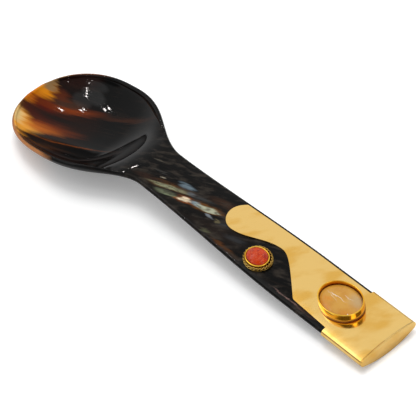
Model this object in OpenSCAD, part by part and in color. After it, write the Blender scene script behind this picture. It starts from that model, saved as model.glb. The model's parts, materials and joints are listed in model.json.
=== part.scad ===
// Horn serving spoon with a brass cap on its handle and two set stones.
// The spoon lies bowl up on a table, carried by the underside of the bowl and the lower edge of the cap.
// +X runs from the cap to the tip of the bowl, +Z is up, and +Y is the side of the small stone.
// The origin is on the table, under the middle of the spoon's bounding box.

/* [Handle] */
// Length of the horn from its butt to the neck, its narrowest place
handle_length = 147; // [125:1:180]
// Width of the horn inside the cap
butt_width = 29; // [26:0.5:34]
// Width of the horn at the neck
neck_width = 23.4; // [18:0.2:28]
// Thickness of the horn inside the cap
butt_thickness = 6.2; // [5.6:0.2:9]
// Thickness of the horn at the neck
neck_thickness = 8.4; // [5:0.2:9]
// Distance from the butt to the place where the handle starts to narrow
taper_start = 52; // [26:1:75]
// Crosswise radius of the crowned top face
crown_radius = 71.5; // [60:0.5:120]
// Radius of the rounded long edges
edge_radius = 1.2; // [1:0.1:2]

/* [Arch] */
// Angle by which the rim of the bowl drops away from the line of the handle
bowl_drop = 11.5; // [5:0.5:20]
// Distance before the neck at which the bend starts
bend_before_neck = 2; // [0:1:20]
// Distance after the neck at which the bend ends
bend_after_neck = 55; // [20:1:58]

/* [Bowl] */
// Length of the bowl from the neck to the tip
bowl_length = 99.5; // [90:1:125]
// Greatest width of the bowl
bowl_width = 57; // [50:0.5:74]
// Distance from the tip to the widest place
widest_from_tip = 41; // [32:1:50]
// Depth of the hollow under the rim
bowl_depth = 12; // [10:0.5:22]
// Distance from the tip to the deepest place
deepest_from_tip = 56; // [36:1:60]
// Distance from the neck at which the hollow starts
hollow_start = 5; // [0:1:12]
// Thickness of the rim
rim_thickness = 2.2; // [1.6:0.1:3]
// Thickness of the floor at the deepest place
floor_thickness = 2.8; // [2:0.1:4]

/* [Cap] */
// Length of the sleeve round the handle
sleeve_length = 23.6; // [18:0.2:30]
// Thickness of the brass sheet
sheet = 0.6; // [0.4:0.05:1]
// Gap filled with glue between horn and sheet
glue_gap = 0.05; // [0.03:0.01:0.15]
// Thickness of the end plate
end_plate_thickness = 0.8; // [0.5:0.1:1.5]

/* [Tongue] */
// Distance from the end of the sleeve to the farthest point of the tongue
tongue_length = 103; // [96:0.1:108]
// Distance at which the tongue leaves its full width
shoulder_at = 45; // [40:0.5:48]
// Height of that shoulder over the middle line, towards the small stone
shoulder_y = 11.2; // [10:0.1:12]
// Distance of the lowest point of the scoop that clears the small setting
scoop_at = 68.8; // [66:0.1:74]
// Height of that lowest point over the middle line
scoop_y = -3.9; // [-5:0.1:-2]
// Distance of the crest of the end lobe
lobe_at = 94.8; // [88:0.1:97]
// Height of that crest over the middle line
lobe_y = 3.1; // [2:0.1:6]
// Flat strip of horn left free between the far edge of the tongue and the rounded edge of the handle
far_margin = 0; // [0:0.1:1]
// The same where the tongue leaves the sleeve on the side of the small stone
near_margin = 1; // [0:0.1:2.5]

/* [Large setting] */
// Distance from the end of the sleeve to the middle of the large stone
large_at = 27; // [20:0.5:32]
// Length of the bezel over all
large_length = 22; // [18:0.5:24]
// Width of the bezel over all
large_width = 17.2; // [14:0.2:20]
// Height of the bezel over the cap
large_height = 4.2; // [3.5:0.1:6]
// Height of the edge of the stone over the cap
large_girdle = 1.9; // [1.2:0.1:2.6]
// Rise of the stone from its edge to its crest
large_dome = 1.5; // [0.8:0.1:2.5]

/* [Small setting] */
// Distance from the end of the sleeve to the middle of the small stone
small_at = 72.6; // [71:0.1:75]
// Distance of its middle from the middle line
small_y = 6.5; // [6.2:0.1:7]
// Length of the base plate
small_length = 14.6; // [12:0.1:15]
// Width of the base plate
small_width = 12; // [10:0.1:12.4]
// Thickness of the base plate
base_thickness = 0.5; // [0.3:0.1:0.8]
// Thickness of the twisted wire
wire = 1.15; // [0.8:0.05:1.4]
// Number of turns of the twist round the ring
twists = 24; // [10:1:28]
// Height of the bezel over the base plate
small_height = 1.8; // [1.2:0.1:2.6]
// Height of the edge of the stone over the base plate
small_girdle = 1.5; // [0.9:0.1:1.7]
// Rise of the stone from its edge to its crest
small_dome = 2.1; // [1:0.1:3]

/* [Settings] */
// Thickness of both bezel walls
bezel_wall = 0.6; // [0.4:0.05:0.8]
// Gap between a stone and its bezel
stone_gap = 0.08; // [0.04:0.01:0.2]
// Gap at a soldered foot
solder_gap = 0.02; // [0.01:0.01:0.05]

/* [Hidden] */

horn_black = [0.13, 0.11, 0.10];
pale_brass = [0.88, 0.72, 0.40];
deep_brass = [0.84, 0.64, 0.26];
amber_stone = [0.86, 0.66, 0.38];
red_stone = [0.74, 0.24, 0.08];

butt_half = butt_width / 2;
neck_half = neck_width / 2;
bowl_half = bowl_width / 2;
rim_radius = rim_thickness / 2;
tip_at = handle_length + bowl_length;
widest_at = tip_at - widest_from_tip;
deepest_at = tip_at - deepest_from_tip;
hollow_at = handle_length + hollow_start;
bend_at = handle_length - bend_before_neck;
bend_length = bend_before_neck + bend_after_neck;

// How square the front of the bowl is in plan: 2 is an ellipse
front_power = 2.2;
// How soon the bowl flares out behind the neck: 1 is an even swing
flare_power = 1.4;
// How full the hollow and the underside are across and along: 0.5 is an ellipse, 1 a parabola
hollow_fullness = 0.75;
under_fullness = 0.65;
// Stretch before and after the neck in which the lens section turns into the bowl's
blend_before_neck = 8;
blend_after_neck = 30;

// Steps in each half of the section's faces and edges, and along the spoon
face_steps = 14;
edge_steps = 5;
cap_face_steps = 28;
cap_edge_steps = 10;
handle_steps = 12;
flare_steps = 26;
front_steps = 16;
last_front_angle = 88;
circle_steps = 360;

// Small functions

function clamp01(u) = min(max(u, 0), 1);
function smooth(u) = let (v = clamp01(u)) v * v * (3 - 2 * v);
function smooth_area(u) = let (v = clamp01(u)) v * v * v - pow(v, 4) / 2;
function mix(a, b, t) = a * (1 - t) + b * t;
function swing(u, power) = pow(cos(90 * pow(clamp01(u), power)), 2);

// The spoon in its own frame: x along the straight handle from the end of the sleeve, the crest of the horn's
// top face at z = 0. Each function gives a size of the horn at the distance x.

function taper(x) = smooth((x - taper_start) / (handle_length - taper_start));
function handle_half(x) = mix(butt_half, neck_half, taper(x));
function flare_half(x) =
    mix(neck_half, bowl_half, swing((widest_at - x) / (widest_at - handle_length), flare_power));
function front_half(x, inset) =
    (bowl_half - inset)
    * pow(1 - pow(clamp01((x - widest_at) / (widest_from_tip - inset)), front_power), 1 / front_power);
function half_width(x) =
    x <= handle_length ? handle_half(x) : x <= widest_at ? flare_half(x) : front_half(x, 0);

// Half-width of the mouth of the hollow, one rim thickness inside the outline all the way round
function inner_half(x) = x <= widest_at ? half_width(x) - rim_thickness : front_half(x, rim_thickness);

// Share of its height that the rim keeps where it rounds over at the tip
function tip_share(x) = sqrt(1 - pow(clamp01((x - tip_at) / rim_radius + 1), 2));

function lens_thickness(x) = mix(butt_thickness, neck_thickness, taper(x));

// Height of the crest of the handle and of the rim of the bowl
function spine(x) =
    -tan(bowl_drop) * (bend_length * smooth_area((x - bend_at) / bend_length)
                       + max(x - bend_at - bend_length, 0));

function hollow_depth(x) =
    x <= deepest_at
        ? bowl_depth * swing((deepest_at - x) / (deepest_at - hollow_at), 1)
        : bowl_depth * pow(1 - pow(clamp01((x - deepest_at) / (deepest_from_tip - rim_thickness)), 2),
                           hollow_fullness);
function under_depth(x) =
    x <= deepest_at
        ? mix(neck_thickness, bowl_depth + floor_thickness,
              swing((deepest_at - x) / (deepest_at - handle_length), 1))
        : mix(rim_thickness, bowl_depth + floor_thickness,
              pow(1 - pow(clamp01((x - deepest_at) / deepest_from_tip), 2), under_fullness));

// The lens section: a flat crowned top arc and a deeper belly arc, joined by two round edges that touch both.
// It can be grown outwards all round by a thickness of skin.

function edge_y(half) = half - edge_radius;
function edge_z(half) = sqrt(pow(crown_radius - edge_radius, 2) - pow(edge_y(half), 2)) - crown_radius;
function belly_radius(half, thickness) =
    let (y = edge_y(half), h = edge_z(half) + thickness)
    (y * y + h * h - edge_radius * edge_radius) / (2 * (h - edge_radius));
function top_angle(half) = atan2(edge_z(half) + crown_radius, edge_y(half));
function belly_angle(half, thickness) =
    atan2(edge_z(half) + thickness - belly_radius(half, thickness), edge_y(half));

// Points of one section, as [y, z], in four runs: top face, edge at +Y, underside, edge at -Y. A face has n steps
// and an edge has m.

function lens_ring(half, thickness, grow, n, m) =
    let (yc = edge_y(half), zc = edge_z(half), belly = belly_radius(half, thickness),
         a1 = top_angle(half), a2 = belly_angle(half, thickness), r = edge_radius + grow,
         top_y = yc + r * cos(a1), belly_y = yc + r * cos(a2))
    concat(
        [for (k = [0:n])
            let (y = top_y * sin(mix(-90, 90, k / n)))
            [y, sqrt(pow(crown_radius + grow, 2) - y * y) - crown_radius]],
        [for (k = [1:m - 1])
            let (a = mix(a1, a2, k / m))
            [yc + r * cos(a), zc + r * sin(a)]],
        [for (k = [0:n])
            let (y = belly_y * sin(mix(90, -90, k / n)))
            [y, belly - thickness - sqrt(pow(belly + grow, 2) - y * y)]],
        [for (k = [1:m - 1])
            let (a = mix(a2, a1, k / m))
            [-yc - r * cos(a), zc + r * sin(a)]]);

function bowl_ring(half, inner, hollow, under) =
    let (reach = (half - inner) / 2,
         a1 = mix(90, 180, clamp01(hollow / rim_thickness)),
         lip_y = half - reach + reach * cos(a1), lip_z = rim_radius * (sin(a1) - 1))
    concat(
        [for (k = [0:face_steps])
            let (a = mix(-90, 90, k / face_steps))
            [lip_y * sin(a), lip_z - max(hollow + lip_z, 0) * pow(max(cos(a), 0), 2 * hollow_fullness)]],
        [for (k = [1:edge_steps - 1])
            let (a = mix(a1, 0, k / edge_steps))
            [half - reach + reach * cos(a), rim_radius * (sin(a) - 1)]],
        [for (k = [0:face_steps])
            let (a = mix(90, -90, k / face_steps))
            [half * sin(a), -rim_radius - (under - rim_radius) * pow(max(cos(a), 0), 2 * under_fullness)]],
        [for (k = [1:edge_steps - 1])
            let (a = mix(0, a1, k / edge_steps))
            [-half + reach - reach * cos(a), rim_radius * (sin(a) - 1)]]);

// The whole section at a distance: lens, bowl, or between the two, rounded over at the tip
function ring_at(x) =
    let (b = smooth((x - handle_length + blend_before_neck) / (blend_before_neck + blend_after_neck)),
         half = half_width(x),
         bowl = bowl_ring(half, inner_half(x), hollow_depth(x), under_depth(x)),
         lens = b < 1 ? lens_ring(half, lens_thickness(x), 0, face_steps, edge_steps) : bowl)
    [for (k = [0:len(bowl) - 1])
        let (p = mix(lens[k], bowl[k], b))
        [x, p[0], mix(-rim_radius, p[1], tip_share(x)) + spine(x)]];

// Distances at which the sections stand, closer together round the tip
stations = concat(
    [glue_gap],
    [for (k = [0:handle_steps - 1]) mix(taper_start, bend_at, k / handle_steps)],
    [for (k = [0:flare_steps - 1]) mix(bend_at, widest_at, k / flare_steps)],
    [for (k = [0:front_steps])
        widest_at + widest_from_tip * pow(sin(last_front_angle * k / front_steps), 2 / front_power)]);

// The skin grows outwards from the horn: glue, then sheet
skin = glue_gap + sheet;
cap_floor = -butt_thickness - skin;

// Lying down: the spoon is tilted until the lower edge of the cap and the underside of the bowl share a level
rest_angle = max([for (x = stations) if (x > handle_length)
    atan((cap_floor - spine(x) + under_depth(x)) / (x + end_plate_thickness))]);
function laid_x(x, z) = x * cos(rest_angle) - z * sin(rest_angle);
function laid_z(x, z) = x * sin(rest_angle) + z * cos(rest_angle);
cap_low = laid_z(-end_plate_thickness, cap_floor);
back_x = laid_x(-end_plate_thickness, skin);
tip_x = max([for (p = ring_at(stations[len(stations) - 1])) laid_x(p[0], p[2])]);

module lie_down() {
    translate([-(back_x + tip_x) / 2, 0, -cap_low])
        rotate([0, -rest_angle, 0])
            children();
}

// Middle of the box round a ring of points
function middle(ring) = [for (axis = [0:2])
    let (values = [for (p = ring) p[axis]])
    (min(values) + max(values)) / 2];

// Skin of closed rings of equally many points, with both ends closed by a fan from the middle of the ring

module loft(rings) {
    n = len(rings[0]);
    m = len(rings);
    points = [for (ring = rings) each ring];
    sides = [for (i = [0:m - 2]) for (k = [0:n - 1])
        let (a = i * n + k, b = i * n + (k + 1) % n)
        each [[a, b, a + n], [b, b + n, a + n]]];
    ends = [for (k = [0:n - 1])
        let (next = (k + 1) % n, last = (m - 1) * n)
        each [[next, k, m * n], [last + k, last + next, m * n + 1]]];
    polyhedron(points = concat(points, [middle(rings[0]), middle(rings[m - 1])]),
               faces = concat(sides, ends), convexity = 4);
}

// The section of the straight end of the handle, grown by a thickness of skin
module lens_outline(grow) {
    polygon(lens_ring(butt_half, butt_thickness, grow, cap_face_steps, cap_edge_steps));
}

// Extrudes an outline drawn in Y and Z along X
module along_x(from, to) {
    translate([from, 0, 0]) rotate([90, 0, 90]) linear_extrude(height = to - from) children();
}

// The crown as a long round bar, to cut the feet of what stands on it
module crown_bar(grow, length) {
    along_x(-length / 2, length / 2)
        translate([0, -crown_radius]) circle(crown_radius + grow, $fn = circle_steps);
}

// Plan of the tongue: along the near edge to the shoulder, down the scoop, up to the lobe, round its end,
// and back along the far edge

scoop_round = 0.25;
heel_length = 3;
curve_steps = 12;
heel_steps = 5;
far_steps = 8;

near_edge = edge_y(butt_half) - near_margin;
function far_edge(x) = far_margin - edge_y(handle_half(x));
function scoop_curve(u) = (sqrt(u * u + scoop_round * scoop_round) - scoop_round)
    / (sqrt(1 + scoop_round * scoop_round) - scoop_round);
lobe_length = tongue_length - lobe_at;
lobe_foot_y = lobe_y - lobe_length;
heel_at = tongue_length - heel_length;

tongue_plan = concat(
    [[sleeve_length / 2, near_edge], [sleeve_length, near_edge]],
    [for (k = [0:curve_steps - 1])
        let (u = 1 - k / curve_steps)
        [mix(scoop_at, shoulder_at, u), mix(scoop_y, shoulder_y, scoop_curve(u))]],
    [for (k = [0:curve_steps - 1])
        let (u = k / curve_steps)
        [mix(scoop_at, lobe_at, u), mix(scoop_y, lobe_y, (1 - cos(180 * u)) / 2)]],
    [for (k = [0:curve_steps - 1])
        let (a = 90 * (1 - k / curve_steps))
        [lobe_at + lobe_length * cos(a), lobe_foot_y + lobe_length * sin(a)]],
    [for (k = [0:heel_steps])
        let (v = k / heel_steps)
        [mix(tongue_length, heel_at, v * v), mix(lobe_foot_y, far_edge(heel_at), v)]],
    [for (k = [1:far_steps])
        let (x = mix(heel_at, taper_start, k / far_steps))
        [x, far_edge(x)]],
    [[sleeve_length / 2, far_edge(sleeve_length)]]);

// Ovals

function oval(a, b, n) = [for (k = [0:n - 1]) [a * cos(360 * k / n), b * sin(360 * k / n)]];
oval_steps = 64;

module oval_wall(a, b, wall, from, to) {
    translate([0, 0, from]) linear_extrude(height = to - from) difference() {
        polygon(oval(a, b, oval_steps));
        polygon(oval(a - wall, b - wall, oval_steps));
    }
}

// Flat-based domed stone: an upright edge, then a dome that rises from it
module cabochon(a, b, girdle, dome) {
    steps = 8;
    rings = concat(
        [for (z = [0, girdle]) [for (p = oval(a, b, oval_steps)) [p[0], p[1], z]]],
        [for (k = [1:steps])
            let (t = 86 * k / steps)
            [for (p = oval(a * cos(t), b * cos(t), oval_steps)) [p[0], p[1], girdle + dome * sin(t)]]]);
    loft([for (k = [len(rings) - 1:-1:0]) rings[k]]);
}

// Places what stands on the crown at a distance along the handle and across it, upright to the face
module on_crown(x, y) {
    translate([x, 0, -crown_radius]) rotate([-asin(y / crown_radius), 0, 0])
        translate([0, 0, crown_radius]) children();
}

// The pieces

module horn_spoon() {
    color(horn_black) lie_down() loft([for (x = stations) ring_at(x)]);
}

module cap_sleeve() {
    color(pale_brass) lie_down() intersection() {
        along_x(0, tongue_length + 1) difference() {
            lens_outline(skin);
            lens_outline(glue_gap);
        }
        union() {
            translate([0, -butt_width, cap_floor - 1])
                cube([sleeve_length, 2 * butt_width, butt_thickness + 2 * skin + 2]);
            translate([0, 0, edge_z(butt_half)])
                linear_extrude(height = 2 * butt_thickness) polygon(tongue_plan);
        }
    }
}

module end_plate() {
    color(deep_brass) lie_down() along_x(-end_plate_thickness, 0) lens_outline(skin);
}

module large_bezel() {
    color(deep_brass) lie_down() difference() {
        translate([large_at, 0, 0])
            oval_wall(large_length / 2, large_width / 2, bezel_wall, -edge_radius, skin + large_height);
        translate([large_at, 0, 0]) crown_bar(skin + solder_gap, 2 * large_length);
    }
}

module large_stone() {
    inset = bezel_wall + stone_gap;
    color(amber_stone) lie_down() translate([large_at, 0, skin + solder_gap])
        cabochon(large_length / 2 - inset, large_width / 2 - inset, large_girdle, large_dome);
}

// The oval of the small bezel lies inside the wire ring
small_a = small_length / 2 - wire - solder_gap;
small_b = small_width / 2 - wire - solder_gap;

module small_base() {
    color(deep_brass) lie_down() on_crown(small_at, small_y) difference() {
        translate([0, 0, -edge_radius])
            linear_extrude(height = edge_radius + solder_gap + base_thickness)
                polygon(oval(small_length / 2, small_width / 2, oval_steps));
        crown_bar(solder_gap, 2 * small_length);
    }
}

module small_bezel() {
    from = base_thickness + 2 * solder_gap;
    color(deep_brass) lie_down() on_crown(small_at, small_y)
        oval_wall(small_a, small_b, bezel_wall, from, from + small_height);
}

module small_stone() {
    inset = bezel_wall + stone_gap;
    color(red_stone) lie_down() on_crown(small_at, small_y)
        translate([0, 0, base_thickness + 2 * solder_gap])
            cabochon(small_a - inset, small_b - inset, small_girdle, small_dome);
}

// Two wires twisted together and bent to an oval: the section is a figure of eight that turns along the ring
module twisted_ring() {
    around = 5 * twists;
    section_steps = 10;
    a = (small_length - wire) / 2;
    b = (small_width - wire) / 2;
    function reach(turn) = wire / 2 * (0.72 + 0.28 * abs(cos(turn)));
    rings = [for (i = [0:around - 1])
        let (t = 360 * i / around,
             out = [b * cos(t), a * sin(t)] / norm([b * cos(t), a * sin(t)]))
        [for (k = [0:section_steps - 1])
            let (s = 360 * k / section_steps, r = reach(s - twists * t / 2))
            [a * cos(t) + out[0] * r * cos(s), b * sin(t) + out[1] * r * cos(s), r * sin(s)]]];
    n = section_steps;
    points = [for (ring = rings) each ring];
    faces = [for (i = [0:around - 1]) for (k = [0:n - 1])
        let (p = i * n + k, q = i * n + (k + 1) % n,
             r = ((i + 1) % around) * n + k, s = ((i + 1) % around) * n + (k + 1) % n)
        each [[p, q, r], [q, s, r]]];
    color(pale_brass) lie_down() on_crown(small_at, small_y)
        translate([0, 0, base_thickness + 2 * solder_gap + wire / 2])
            polyhedron(points = points, faces = faces, convexity = 6);
}

horn_spoon();
cap_sleeve();
end_plate();
large_bezel();
large_stone();
small_base();
small_bezel();
twisted_ring();
small_stone();
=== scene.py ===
"""Looks of a horn serving spoon with a brass cap and two set stones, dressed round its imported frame."""

from __future__ import annotations

import json
import logging
import math
from dataclasses import dataclass
from enum import Enum
from typing import Any, Callable, Iterable, Sequence

import bpy
import numpy as np
from mathutils import Euler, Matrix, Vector

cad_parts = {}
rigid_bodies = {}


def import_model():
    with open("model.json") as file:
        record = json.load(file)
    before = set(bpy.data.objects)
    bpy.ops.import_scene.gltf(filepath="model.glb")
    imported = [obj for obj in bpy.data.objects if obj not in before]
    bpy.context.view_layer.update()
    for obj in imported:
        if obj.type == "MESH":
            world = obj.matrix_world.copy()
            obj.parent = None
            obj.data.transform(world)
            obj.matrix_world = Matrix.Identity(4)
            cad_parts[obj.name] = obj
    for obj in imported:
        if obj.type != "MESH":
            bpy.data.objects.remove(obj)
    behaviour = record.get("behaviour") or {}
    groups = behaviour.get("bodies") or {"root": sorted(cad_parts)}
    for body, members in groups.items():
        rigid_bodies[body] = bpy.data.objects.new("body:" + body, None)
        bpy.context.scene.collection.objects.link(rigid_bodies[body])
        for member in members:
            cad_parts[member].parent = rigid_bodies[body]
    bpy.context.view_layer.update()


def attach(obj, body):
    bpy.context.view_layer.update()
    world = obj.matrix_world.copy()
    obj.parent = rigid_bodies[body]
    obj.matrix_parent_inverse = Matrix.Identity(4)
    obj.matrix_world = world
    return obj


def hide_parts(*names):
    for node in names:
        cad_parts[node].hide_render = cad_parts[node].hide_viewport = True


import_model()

LOG = logging.getLogger("spoon")
MM = 0.001
BODY = "root"
Pair = tuple[float, float]
Triple = tuple[float, float, float]
Colour = Triple
Socket = bpy.types.NodeSocket
Faces = list[tuple[int, ...]]
Shape = tuple[np.ndarray, Faces]
PatchRow = tuple[Pair, Pair, tuple[int, int, int], float, float, float]

# Points round a band and round a stone, along one bump of the wire ring, and round one of its wires
BAND_STEPS = 144
STONE_STEPS = 120
WIRE_STEPS = 16
WIRE_SIDES = 12
# Rounding of a band's rim as a share of its wall, the angle at which it starts, and its points
RIM_ROUND = 0.42
RIM_START = 0.3
RIM_STEPS = 5
# Share of a stone's upright edge at which an extra ring lies, and the angles of the rings over it
GIRDLE_SHARE = 0.6
DOME_ANGLES = np.radians(np.linspace(3, 88.5, 26))
# How much rougher than its gloss a finish is where it is most worn
WEAR = 0.08


# Small sums on sizes, in millimetres and radians


def clamp01(u: float) -> float:
    """Return u held between 0 and 1."""
    return min(max(u, 0.0), 1.0)


def smooth(u: float) -> float:
    """Return an even S-shaped rise from 0 to 1."""
    v = clamp01(u)
    return v * v * (3 - 2 * v)


def mix(a: Any, b: Any, t: Any) -> Any:
    """Return the value a share t of the way from a to b."""
    return a * (1 - t) + b * t


def swing(u: float, power: float) -> float:
    """Return a fall from 1 to 0 that starts and ends level."""
    return math.cos(math.pi / 2 * clamp01(u) ** power) ** 2


def channel(level: int) -> float:
    """Return a screen level of 0 to 255 as the linear number that a shader takes."""
    c = level / 255
    return c / 12.92 if c <= 0.04045 else ((c + 0.055) / 1.055) ** 2.4


def linear(red: int, green: int, blue: int) -> Colour:
    """Return a screen colour as the linear numbers that a shader takes."""
    return channel(red), channel(green), channel(blue)


# Meshes


def add_piece(name: str, shape: Shape, material: bpy.types.Material) -> bpy.types.Object:
    """Make a smooth-shaded mesh object.

    Args:
        name: Name of the piece.
        shape: Its corners in metres, and its faces counter-clockwise from outside.
        material: Its finish.

    Returns:
        The new object, already in the scene.
    """
    mesh = bpy.data.meshes.new(name)
    mesh.from_pydata([tuple(p) for p in shape[0]], [], shape[1])
    mesh.polygons.foreach_set("use_smooth", [True] * len(mesh.polygons))
    mesh.materials.append(material)
    mesh.update()
    piece = bpy.data.objects.new(name, mesh)
    bpy.context.scene.collection.objects.link(piece)
    return piece


def store(piece: bpy.types.Object, name: str, values: np.ndarray) -> None:
    """Keep a vector for each corner of a piece, for its finish to read."""
    layer = piece.data.attributes.new(name, "FLOAT_VECTOR", "POINT")
    layer.data.foreach_set("vector", np.ascontiguousarray(values, dtype=np.float32).ravel())


def strip(first: int, second: int, count: int, closed: bool = True) -> Faces:
    """Return one four-sided face for each step along two rows of corners that start at first and second."""
    steps = count if closed else count - 1
    return [(first + k, first + (k + 1) % count, second + (k + 1) % count, second + k) for k in range(steps)]


def loft(rings: Sequence[np.ndarray], joined: bool = False) -> Shape:
    """Skin a row of closed rings of equally many points.

    Args:
        rings: The rings, each with one row a point.
        joined: Whether the last ring meets the first; otherwise a fan closes both ends.

    Returns:
        The points and the faces.
    """
    count = len(rings[0])
    points = np.concatenate(rings)
    faces: Faces = []
    for i in range(len(rings) - 1):
        faces += strip(i * count, (i + 1) * count, count)
    last = (len(rings) - 1) * count
    if joined:
        return points, faces + strip(last, 0, count)
    middles = [(ring.min(axis=0) + ring.max(axis=0)) / 2 for ring in (rings[0], rings[-1])]
    total = len(points)
    for k in range(count):
        after = (k + 1) % count
        faces += [(after, k, total), (last + k, last + after, total + 1)]
    return np.vstack([points, middles]), faces


def oval(a: float, b: float, steps: int) -> np.ndarray:
    """Return the points of an oval with half-lengths a and b, counter-clockwise."""
    t = np.arange(steps) * 2 * np.pi / steps
    return np.column_stack([a * np.cos(t), b * np.sin(t)])


def at_height(plan: np.ndarray, height: float | np.ndarray) -> np.ndarray:
    """Return a plan's rows of x and y as points at a height, one for all or one for each."""
    return np.column_stack([plan, np.broadcast_to(height, len(plan))])


def at_distance(x: float, section: np.ndarray) -> np.ndarray:
    """Return a section's rows of y and z as points at a distance x."""
    return np.column_stack([np.full(len(section), x), section])


# Node trees


class Nodes:
    """Draws a node tree in a few calls."""

    def __init__(self, tree: bpy.types.NodeTree) -> None:
        """Take an empty tree."""
        self.tree = tree
        self.tree.nodes.clear()

    def add(self, kind: str, inputs: dict[Any, Any] | None = None, **settings: Any) -> bpy.types.Node:
        """Add a node.

        Args:
            kind: Its type.
            inputs: What its inputs take, by name or number.
            settings: Its options.

        Returns:
            The node.
        """
        node = self.tree.nodes.new(kind)
        for key, value in settings.items():
            setattr(node, key, value)
        for key, value in (inputs or {}).items():
            self.put(node.inputs[key], value)
        return node

    def put(self, socket: Socket, value: Any) -> None:
        """Fill an input.

        Args:
            socket: The input.
            value: Another node's socket to link, or a plain value.
        """
        if isinstance(value, Socket):
            self.tree.links.new(value, socket)
        elif isinstance(value, tuple) and socket.type == "RGBA" and len(value) == 3:
            socket.default_value = (*value, 1.0)
        else:
            socket.default_value = value

    def stored(self, name: str) -> Socket:
        """Return the vector that a piece keeps under a name."""
        return self.add("ShaderNodeAttribute", attribute_name=name).outputs["Vector"]

    def metres(self) -> Socket:
        """Return the place on the piece in metres."""
        return self.add("ShaderNodeTexCoord").outputs["Object"]

    def millimetres(self) -> Socket:
        """Return the place on the piece in millimetres."""
        return self.fit(self.metres(), size=(MM, MM, MM))

    def fit(self, vector: Socket, at: Triple = (0, 0, 0), turn: float = 0.0, size: Triple = (1, 1, 1)) -> Socket:
        """Return a vector measured from a place, turned by degrees about the third axis, in lengths of a size."""
        inputs = {"Vector": vector, "Location": at, "Rotation": (0, 0, math.radians(turn)), "Scale": size}
        return self.add("ShaderNodeMapping", inputs, vector_type="TEXTURE").outputs["Vector"]

    def parts(self, vector: Socket) -> tuple[Socket, ...]:
        """Return the three parts of a vector."""
        return tuple(self.add("ShaderNodeSeparateXYZ", {0: vector}).outputs)

    def number(self, operation: str, a: Any, b: Any) -> Socket:
        """Return what an operation makes of two numbers."""
        return self.add("ShaderNodeMath", {0: a, 1: b}, operation=operation).outputs[0]

    def vector(self, operation: str, a: Any, b: Any = (0.0, 0.0, 0.0)) -> Socket:
        """Return what an operation makes of two vectors."""
        node = self.add("ShaderNodeVectorMath", {0: a, 1: b}, operation=operation)
        return node.outputs["Value" if operation in ("LENGTH", "DOT_PRODUCT") else "Vector"]

    def noise(self, vector: Socket, scale: float, detail: float, rough: float = 0.5, colour: bool = False) -> Socket:
        """Return soft random values about 0.5: scale spots per unit, and detail finer layers that fade by rough."""
        inputs = {"Vector": vector, "Scale": scale, "Detail": detail, "Roughness": rough}
        return self.add("ShaderNodeTexNoise", inputs).outputs["Color" if colour else "Fac"]

    def rise(self, value: Any, low: float, high: float, start: float = 0.0, end: float = 1.0) -> Socket:
        """Return a smooth change from start to end while value goes from low to high."""
        inputs = {"Value": value, "From Min": low, "From Max": high, "To Min": start, "To Max": end}
        return self.add("ShaderNodeMapRange", inputs, interpolation_type="SMOOTHSTEP").outputs["Result"]

    def blend(self, share: Any, a: Any, b: Any) -> Socket:
        """Return the colour a share of the way from a to b."""
        return self.add("ShaderNodeMix", {0: share, 6: a, 7: b}, data_type="RGBA").outputs[2]

    def between(self, share: Any, a: Any, b: Any) -> Socket:
        """Return the number a share of the way from a to b."""
        return self.add("ShaderNodeMix", {0: share, 2: a, 3: b}, data_type="FLOAT").outputs[0]


class Sketch(Nodes):
    """Draws the node tree of one material."""

    def __init__(self, name: str) -> None:
        """Start a material with one plain shader.

        Args:
            name: Name of the material.
        """
        self.material = bpy.data.materials.new(name)
        self.material.use_nodes = True
        super().__init__(self.material.node_tree)
        self.shader = self.add("ShaderNodeBsdfPrincipled")
        self.add("ShaderNodeOutputMaterial", {"Surface": self.shader.outputs["BSDF"]})

    def set(self, **inputs: Any) -> None:
        """Set the shader's inputs, each named with underscores for blanks."""
        for key, value in inputs.items():
            self.put(self.shader.inputs[key.replace("_", " ")], value)

    def hidden(self, reach: float) -> Socket:
        """Return how open each place is, from 0 in a deep corner to 1, looking a reach in millimetres round it."""
        return self.add("ShaderNodeAmbientOcclusion", {"Distance": reach * MM}, samples=8).outputs["AO"]

    def lay(self, patch: Patch, where: Socket, colour: Any, mask: Socket | None = None) -> Socket:
        """Lay one patch over a colour.

        Args:
            patch: The patch.
            where: The place in millimetres.
            colour: The colour under it.
            mask: A share that holds the patch back, or None.

        Returns:
            The new colour.
        """
        away = self.vector("LENGTH", self.fit(where, (*patch.at, 0), patch.turn, (*patch.size, 1)))
        share = self.rise(away, 1 - patch.edge, 1 + patch.edge, patch.share, 0.0)
        return self.blend(share if mask is None else self.number("MULTIPLY", share, mask), colour, patch.tint)

    def bump(self, height: Socket, depth: float) -> None:
        """Lay a relief of a height in millimetres on the surface."""
        node = self.add("ShaderNodeBump", {"Strength": 1.0, "Distance": depth * MM, "Height": height})
        self.set(Normal=node.outputs["Normal"])


# Finishes


class Side(Enum):
    """The faces of the horn that a patch of colour lies on."""

    TOP = "top"
    UNDER = "under"


@dataclass(frozen=True)
class Patch:
    """A soft-edged oval of colour, in millimetres.

    Attributes:
        at: Its middle, along and across.
        size: Its half-lengths.
        tint: Its colour.
        turn: Turn of its long axis in degrees.
        share: Strength of the colour.
        edge: Width of the soft edge as a share of its size.
        side: Faces of the horn that it lies on.
    """

    at: Pair
    size: Pair
    tint: Colour
    turn: float
    share: float
    edge: float
    side: Side = Side.TOP


def patches(rows: Iterable[PatchRow], side: Side = Side.TOP) -> tuple[Patch, ...]:
    """Return a patch for each row of its middle, half-lengths, screen colour, turn, share and edge."""
    return tuple(Patch(at, size, linear(*tint), turn, share, edge, side) for at, size, tint, turn, share, edge in rows)


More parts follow.
